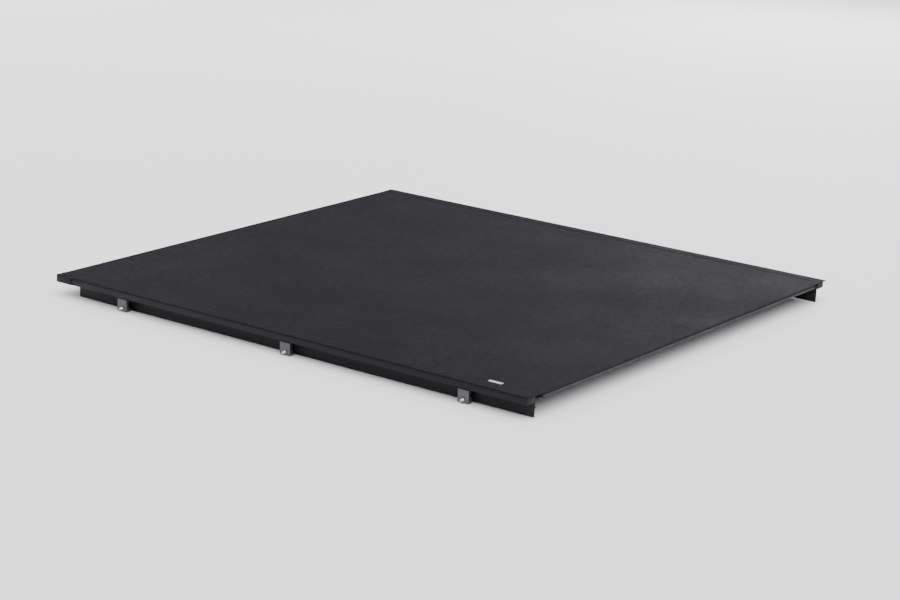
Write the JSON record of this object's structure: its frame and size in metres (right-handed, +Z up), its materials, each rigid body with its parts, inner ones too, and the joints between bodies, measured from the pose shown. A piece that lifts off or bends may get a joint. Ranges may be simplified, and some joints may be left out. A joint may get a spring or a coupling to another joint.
{
  "type": "tonneau cover",
  "caption": "Soft roll-up tonneau cover for a pickup bed: a flat charcoal sheet over side rails, bows and a latching tail bar.",
  "frame": {"origin": "middle of the front header's underside, on the plane of the bed's rim", "axes": "+X to the truck's right, +Y forward towards the cab, +Z up; the cover's length runs along Y and its surface faces +Z"},
  "size_m": [1.64, 1.7315, 0.0665],
  "materials": {
    "cover_fabric": "matt coated canvas, charcoal black",
    "webbing": "woven nylon webbing, black",
    "hook_tape": "hook tape, black",
    "rail_black": "black powder coat on extruded aluminium, fine texture",
    "bow_aluminium": "extruded, mill finish",
    "cast_metal": "cast, tumbled",
    "zinc_steel": "zinc plated",
    "black_plastic": "moulded, fine grain",
    "seal_rubber": "extruded rubber, matt",
    "seal_foam": "closed-cell foam, black"
  },
  "bodies": {
    "rail_frame": {"side_rail_left": "rail_black", "side_rail_right": "rail_black", "front_header": "rail_black", "header_corner_brackets": "zinc_steel", "header_screws": "zinc_steel", "bulkhead_seal": "seal_foam", "rail_seals": "seal_foam", "rail_hook_tapes": "hook_tape", "end_caps": "black_plastic", "cover_welt": "seal_rubber", "cover_front_panel": "cover_fabric", "clamp_brackets": "cast_metal", "storage_strap_left": "webbing", "storage_strap_right": "webbing", "strap_buckles": "black_plastic"},
    "strip_01": {"cover_strip_01": "cover_fabric", "cross_bow_1": "bow_aluminium"},
    "strip_02": {"cover_strip_02": "cover_fabric"},
    "strip_03": {"cover_strip_03": "cover_fabric"},
    "strip_04": {"cover_strip_04": "cover_fabric"},
    "strip_05": {"cover_strip_05": "cover_fabric"},
    "strip_06": {"cover_strip_06": "cover_fabric", "cross_bow_2": "bow_aluminium"},
    "strip_07": {"cover_strip_07": "cover_fabric"},
    "strip_08": {"cover_strip_08": "cover_fabric"},
    "strip_09": {"cover_strip_09": "cover_fabric"},
    "strip_10": {"cover_strip_10": "cover_fabric", "cross_bow_3": "bow_aluminium"},
    "strip_11": {"cover_strip_11": "cover_fabric"},
    "strip_12": {"cover_strip_12": "cover_fabric"},
    "strip_13": {"cover_strip_13": "cover_fabric"},
    "strip_14": {"cover_strip_14": "cover_fabric"},
    "strip_15": {"cover_strip_15": "cover_fabric", "cross_bow_4": "bow_aluminium"},
    "strip_16": {"cover_strip_16": "cover_fabric"},
    "strip_17": {"cover_strip_17": "cover_fabric"},
    "strip_18": {"cover_strip_18": "cover_fabric"},
    "strip_19": {"cover_strip_19": "cover_fabric"},
    "strip_20": {"cover_strip_20": "cover_fabric", "tail_bar": "rail_black", "tail_seal": "seal_rubber", "latch_housings": "black_plastic", "latch_spring_left": "zinc_steel", "latch_spring_right": "zinc_steel"},
    "latch_left": {"latch_bolt_left": "zinc_steel"},
    "latch_right": {"latch_bolt_right": "zinc_steel"},
    "screw_left_front": {"clamp_screw_left_front": "zinc_steel"},
    "jaw_left_front": {"clamp_jaw_left_front": "cast_metal"},
    "screw_left_middle": {"clamp_screw_left_middle": "zinc_steel"},
    "jaw_left_middle": {"clamp_jaw_left_middle": "cast_metal"},
    "screw_left_rear": {"clamp_screw_left_rear": "zinc_steel"},
    "jaw_left_rear": {"clamp_jaw_left_rear": "cast_metal"},
    "screw_right_front": {"clamp_screw_right_front": "zinc_steel"},
    "jaw_right_front": {"clamp_jaw_right_front": "cast_metal"},
    "screw_right_middle": {"clamp_screw_right_middle": "zinc_steel"},
    "jaw_right_middle": {"clamp_jaw_right_middle": "cast_metal"},
    "screw_right_rear": {"clamp_screw_right_rear": "zinc_steel"},
    "jaw_right_rear": {"clamp_jaw_right_rear": "cast_metal"}
  },
  "joints": [
    {"name": "roll_01", "type": "hinge", "parent": "rail_frame", "child": "strip_01", "pos_m": [0, -0.15, 0.0225], "axis": [-1, 0, 0], "range_deg": [0, 54]},
    {"name": "roll_02", "type": "hinge", "parent": "strip_01", "child": "strip_02", "pos_m": [0, -0.24182, 0.0225], "axis": [-1, 0, 0], "range_deg": [0, 54]},
    {"name": "roll_03", "type": "hinge", "parent": "strip_02", "child": "strip_03", "pos_m": [0, -0.3308, 0.0225], "axis": [-1, 0, 0], "range_deg": [0, 54]},
    {"name": "roll_04", "type": "hinge", "parent": "strip_03", "child": "strip_04", "pos_m": [0, -0.41787, 0.0225], "axis": [-1, 0, 0], "range_deg": [0, 55]},
    {"name": "roll_05", "type": "hinge", "parent": "strip_04", "child": "strip_05", "pos_m": [0, -0.50328, 0.0225], "axis": [-1, 0, 0], "range_deg": [0, 55]},
    {"name": "roll_06", "type": "hinge", "parent": "strip_05", "child": "strip_06", "pos_m": [0, -0.58718, 0.0225], "axis": [-1, 0, 0], "range_deg": [0, 56]},
    {"name": "roll_07", "type": "hinge", "parent": "strip_06", "child": "strip_07", "pos_m": [0, -0.66965, 0.0225], "axis": [-1, 0, 0], "range_deg": [0, 57]},
    {"name": "roll_08", "type": "hinge", "parent": "strip_07", "child": "strip_08", "pos_m": [0, -0.75077, 0.0225], "axis": [-1, 0, 0], "range_deg": [0, 58]},
    {"name": "roll_09", "type": "hinge", "parent": "strip_08", "child": "strip_09", "pos_m": [0, -0.83059, 0.0225], "axis": [-1, 0, 0], "range_deg": [0, 59]},
    {"name": "roll_10", "type": "hinge", "parent": "strip_09", "child": "strip_10", "pos_m": [0, -0.90918, 0.0225], "axis": [-1, 0, 0], "range_deg": [0, 60]},
    {"name": "roll_11", "type": "hinge", "parent": "strip_10", "child": "strip_11", "pos_m": [0, -0.98655, 0.0225], "axis": [-1, 0, 0], "range_deg": [0, 62]},
    {"name": "roll_12", "type": "hinge", "parent": "strip_11", "child": "strip_12", "pos_m": [0, -1.06276, 0.0225], "axis": [-1, 0, 0], "range_deg": [0, 63]},
    {"name": "roll_13", "type": "hinge", "parent": "strip_12", "child": "strip_13", "pos_m": [0, -1.13783, 0.0225], "axis": [-1, 0, 0], "range_deg": [0, 65]},
    {"name": "roll_14", "type": "hinge", "parent": "strip_13", "child": "strip_14", "pos_m": [0, -1.21178, 0.0225], "axis": [-1, 0, 0], "range_deg": [0, 67]},
    {"name": "roll_15", "type": "hinge", "parent": "strip_14", "child": "strip_15", "pos_m": [0, -1.28464, 0.0225], "axis": [-1, 0, 0], "range_deg": [0, 69]},
    {"name": "roll_16", "type": "hinge", "parent": "strip_15", "child": "strip_16", "pos_m": [0, -1.35643, 0.0225], "axis": [-1, 0, 0], "range_deg": [0, 72]},
    {"name": "roll_17", "type": "hinge", "parent": "strip_16", "child": "strip_17", "pos_m": [0, -1.42718, 0.0225], "axis": [-1, 0, 0], "range_deg": [0, 74]},
    {"name": "roll_18", "type": "hinge", "parent": "strip_17", "child": "strip_18", "pos_m": [0, -1.49689, 0.0225], "axis": [-1, 0, 0], "range_deg": [0, 77]},
    {"name": "roll_19", "type": "hinge", "parent": "strip_18", "child": "strip_19", "pos_m": [0, -1.56559, 0.0225], "axis": [-1, 0, 0], "range_deg": [0, 97]},
    {"name": "roll_20", "type": "hinge", "parent": "strip_19", "child": "strip_20", "pos_m": [0, -1.63329, 0.0225], "axis": [-1, 0, 0], "range_deg": [0, 102]},
    {"name": "latch_left_slide", "type": "slide", "parent": "strip_20", "child": "latch_left", "axis": [1, 0, 0], "range_m": [0, 0.0135], "stiffness_N_per_m": 350, "springref_m": -0.008, "deforming": ["latch_spring_left"]},
    {"name": "latch_right_slide", "type": "slide", "parent": "strip_20", "child": "latch_right", "axis": [-1, 0, 0], "range_m": [0, 0.0135], "stiffness_N_per_m": 350, "springref_m": -0.008, "deforming": ["latch_spring_right"]},
    {"name": "clamp_left_front_turn", "type": "hinge", "parent": "rail_frame", "child": "screw_left_front", "pos_m": [-0.78, -0.23, -0.034], "axis": [1, 0, 0], "range_deg": [-2304, 2880]},
    {"name": "clamp_left_front_slide", "type": "slide", "parent": "rail_frame", "child": "jaw_left_front", "axis": [-1, 0, 0], "range_m": [-0.008, 0.01]},
    {"name": "clamp_left_middle_turn", "type": "hinge", "parent": "rail_frame", "child": "screw_left_middle", "pos_m": [-0.78, -0.86, -0.034], "axis": [1, 0, 0], "range_deg": [-2304, 2880]},
    {"name": "clamp_left_middle_slide", "type": "slide", "parent": "rail_frame", "child": "jaw_left_middle", "axis": [-1, 0, 0], "range_m": [-0.008, 0.01]},
    {"name": "clamp_left_rear_turn", "type": "hinge", "parent": "rail_frame", "child": "screw_left_rear", "pos_m": [-0.78, -1.48, -0.034], "axis": [1, 0, 0], "range_deg": [-2304, 2880]},
    {"name": "clamp_left_rear_slide", "type": "slide", "parent": "rail_frame", "child": "jaw_left_rear", "axis": [-1, 0, 0], "range_m": [-0.008, 0.01]},
    {"name": "clamp_right_front_turn", "type": "hinge", "parent": "rail_frame", "child": "screw_right_front", "pos_m": [0.78, -0.23, -0.034], "axis": [-1, 0, 0], "range_deg": [-2304, 2880]},
    {"name": "clamp_right_front_slide", "type": "slide", "parent": "rail_frame", "child": "jaw_right_front", "axis": [1, 0, 0], "range_m": [-0.008, 0.01]},
    {"name": "clamp_right_middle_turn", "type": "hinge", "parent": "rail_frame", "child": "screw_right_middle", "pos_m": [0.78, -0.86, -0.034], "axis": [-1, 0, 0], "range_deg": [-2304, 2880]},
    {"name": "clamp_right_middle_slide", "type": "slide", "parent": "rail_frame", "child": "jaw_right_middle", "axis": [1, 0, 0], "range_m": [-0.008, 0.01]},
    {"name": "clamp_right_rear_turn", "type": "hinge", "parent": "rail_frame", "child": "screw_right_rear", "pos_m": [0.78, -1.48, -0.034], "axis": [-1, 0, 0], "range_deg": [-2304, 2880]},
    {"name": "clamp_right_rear_slide", "type": "slide", "parent": "rail_frame", "child": "jaw_right_rear", "axis": [1, 0, 0], "range_m": [-0.008, 0.01]}
  ],
  "couplings": [
    {"joint": "clamp_left_front_slide", "follows": "clamp_left_front_turn", "m_per_rad": 0.00019894},
    {"joint": "clamp_left_middle_slide", "follows": "clamp_left_middle_turn", "m_per_rad": 0.00019894},
    {"joint": "clamp_left_rear_slide", "follows": "clamp_left_rear_turn", "m_per_rad": 0.00019894},
    {"joint": "clamp_right_front_slide", "follows": "clamp_right_front_turn", "m_per_rad": 0.00019894},
    {"joint": "clamp_right_middle_slide", "follows": "clamp_right_middle_turn", "m_per_rad": 0.00019894},
    {"joint": "clamp_right_rear_slide", "follows": "clamp_right_rear_turn", "m_per_rad": 0.00019894}
  ]
}
